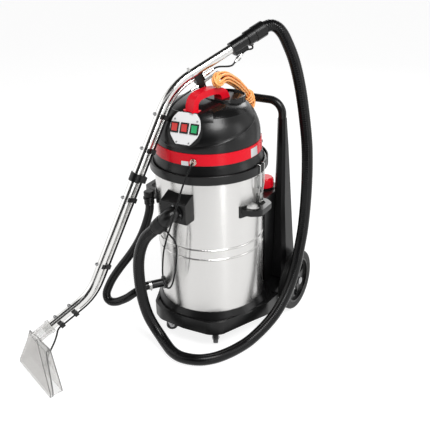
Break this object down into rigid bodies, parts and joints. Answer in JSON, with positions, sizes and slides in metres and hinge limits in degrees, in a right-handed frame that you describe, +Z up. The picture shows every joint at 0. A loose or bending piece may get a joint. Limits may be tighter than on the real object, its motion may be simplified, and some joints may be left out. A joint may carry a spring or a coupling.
{
  "type": "carpet cleaner machine",
  "caption": "Upright spray extraction carpet cleaner: steel recovery drum on wheels, switched motor head, solution tank, floor wand with clear nozzle, hoses and coiled power cable.",
  "frame": {"origin": "point on the floor under the axis of the drum", "axes": "+Z up, -Y the machine's front with the switch panel, +X to the right seen from the front"},
  "size_m": [0.8794, 1.1653, 1.2773],
  "materials": {
    "steel_drum": "brushed",
    "bright_steel": "polished",
    "zinc": "satin",
    "chrome_tube": "polished",
    "black_satin": "satin moulded",
    "black_gloss": "gloss moulded",
    "tank_black": "rotomoulded",
    "tyre_black": "moulded tread",
    "castor_grey": "moulded",
    "red_gloss": "gloss moulded",
    "panel_white": "satin sheet",
    "rocker_red": "lit rocker",
    "rocker_green": "lit rocker",
    "brass": "machined",
    "tube_black": "powder coat",
    "hose_black": "flexible hose",
    "cable_orange": "flexible cable",
    "nozzle_clear": "clear moulding",
    "motor_grey": "cast housing",
    "ball_white": "moulded"
  },
  "bodies": {
    "machine": {"chassis": "black_satin", "rear_axle": "zinc", "castor_plates": "zinc", "solution_tank": "tank_black", "push_handle": "tube_black", "drum": "steel_drum", "rim_ring": "black_satin", "side_handles": "black_gloss", "latch_plates": "bright_steel", "head_flange": "black_satin", "red_band": "red_gloss", "head_dome": "black_satin", "top_cap": "black_gloss", "head_handle": "red_gloss", "control_panel": "panel_white", "rocker_bezels": "black_satin", "screws": "zinc", "motor_plate": "motor_grey", "vacuum_motors": "motor_grey", "float_cage": "ball_white", "pump": "motor_grey", "solution_coupler": "brass", "inlet_box": "black_satin", "inlet_elbow": "black_satin", "hose_cuffs": "black_satin", "drain_pipe": "black_satin", "hose_clamps": "bright_steel", "drain_hose": "hose_black", "drain_holder": "black_satin", "wand_tubes": "chrome_tube", "wand_clips": "black_satin", "valve_block": "black_satin", "wand_fittings": "chrome_tube", "wand_hoses": "hose_black", "nozzle": "nozzle_clear", "vacuum_hose": "hose_black", "solution_hose": "hose_black", "cable_hank": "cable_orange", "cable_lead": "cable_orange", "cable_ends": "black_satin"},
    "wheel_left": {"wheel_rim_left": "black_satin", "wheel_tyre_left": "tyre_black"},
    "wheel_right": {"wheel_rim_right": "black_satin", "wheel_tyre_right": "tyre_black"},
    "castor_left": {"castor_fork_left": "zinc"},
    "castor_right": {"castor_fork_right": "zinc"},
    "castor_left_wheel": {"castor_wheel_left": "castor_grey"},
    "castor_right_wheel": {"castor_wheel_right": "castor_grey"},
    "cap": {"filler_cap": "red_gloss"},
    "lever_left": {"latch_lever_left": "bright_steel"},
    "lever_right": {"latch_lever_right": "bright_steel"},
    "bail_left": {"latch_bail_left": "bright_steel"},
    "bail_right": {"latch_bail_right": "bright_steel"},
    "switch_1": {"rocker_1": "rocker_red"},
    "switch_2": {"rocker_2": "rocker_red"},
    "switch_3": {"rocker_3": "rocker_green"},
    "sleeve": {"coupler_sleeve": "chrome_tube"},
    "plug": {"drain_plug": "black_satin"},
    "trigger": {"valve_lever": "bright_steel"},
    "ball": {"float_ball": "ball_white"}
  },
  "joints": [
    {"name": "wheel_left_spin", "type": "hinge", "parent": "machine", "child": "wheel_left", "pos_m": [-0.2795, 0.25, 0.135], "axis": [1, 0, 0], "continuous": true},
    {"name": "wheel_right_spin", "type": "hinge", "parent": "machine", "child": "wheel_right", "pos_m": [0.2795, 0.25, 0.135], "axis": [1, 0, 0], "continuous": true},
    {"name": "castor_left_swivel", "type": "hinge", "parent": "machine", "child": "castor_left", "pos_m": [-0.122, -0.188, 0.07], "axis": [0, 0, 1], "continuous": true},
    {"name": "castor_left_roll", "type": "hinge", "parent": "castor_left", "child": "castor_left_wheel", "pos_m": [-0.10562, -0.17653, 0.025], "axis": [-0.5736, 0.8192, 0], "continuous": true},
    {"name": "castor_right_swivel", "type": "hinge", "parent": "machine", "child": "castor_right", "pos_m": [0.122, -0.188, 0.07], "axis": [0, 0, 1], "continuous": true},
    {"name": "castor_right_roll", "type": "hinge", "parent": "castor_right", "child": "castor_right_wheel", "pos_m": [0.112, -0.17068, 0.025], "axis": [-0.866, -0.5, 0], "continuous": true},
    {"name": "filler_cap_lift", "type": "slide", "parent": "machine", "child": "cap", "axis": [0, 0, 1], "range_m": [0, 0.04]},
    {"name": "latch_left_lever", "type": "hinge", "parent": "machine", "child": "lever_left", "pos_m": [-0.229, 0, 0.665], "axis": [0, 1, 0], "range_deg": [0, 60]},
    {"name": "latch_left_bail", "type": "hinge", "parent": "lever_left", "child": "bail_left", "pos_m": [-0.233, 0, 0.645], "axis": [0, 1, 0], "range_deg": [-60, 6]},
    {"name": "latch_right_lever", "type": "hinge", "parent": "machine", "child": "lever_right", "pos_m": [0.229, 0, 0.665], "axis": [0, -1, 0], "range_deg": [0, 60]},
    {"name": "latch_right_bail", "type": "hinge", "parent": "lever_right", "child": "bail_right", "pos_m": [0.233, 0, 0.645], "axis": [0, -1, 0], "range_deg": [-60, 6]},
    {"name": "switch_1_rock", "type": "hinge", "parent": "machine", "child": "switch_1", "pos_m": [-0.03027, -0.18358, 0.93997], "axis": [-0.9976, -0.0698, 0], "range_deg": [0, 14]},
    {"name": "switch_2_rock", "type": "hinge", "parent": "machine", "child": "switch_2", "pos_m": [0.01063, -0.18072, 0.93997], "axis": [-0.9976, -0.0698, 0], "range_deg": [0, 14]},
    {"name": "switch_3_rock", "type": "hinge", "parent": "machine", "child": "switch_3", "pos_m": [0.05253, -0.17779, 0.93997], "axis": [-0.9976, -0.0698, 0], "range_deg": [0, 14]},
    {"name": "coupler_sleeve_slide", "type": "slide", "parent": "machine", "child": "sleeve", "axis": [0.2823, -0.9593, 0], "range_m": [0, 0.004]},
    {"name": "drain_plug_pull", "type": "slide", "parent": "machine", "child": "plug", "axis": [0, 0, 1], "range_m": [0, 0.03]},
    {"name": "trigger_squeeze", "type": "hinge", "parent": "machine", "child": "trigger", "pos_m": [0.00643, -0.03444, 1.06344], "axis": [0.866, -0.5, 0], "range_deg": [0, 8], "stiffness_Nm_per_rad": 0.6, "springref_deg": -20.05},
    {"name": "float_rise", "type": "slide", "parent": "machine", "child": "ball", "axis": [0, 0, 1], "range_m": [0, 0.06]}
  ],
  "couplings": [
    {"joint": "latch_left_bail", "follows": "latch_left_lever", "ratio": -0.88},
    {"joint": "latch_right_bail", "follows": "latch_right_lever", "ratio": -0.88}
  ]
}
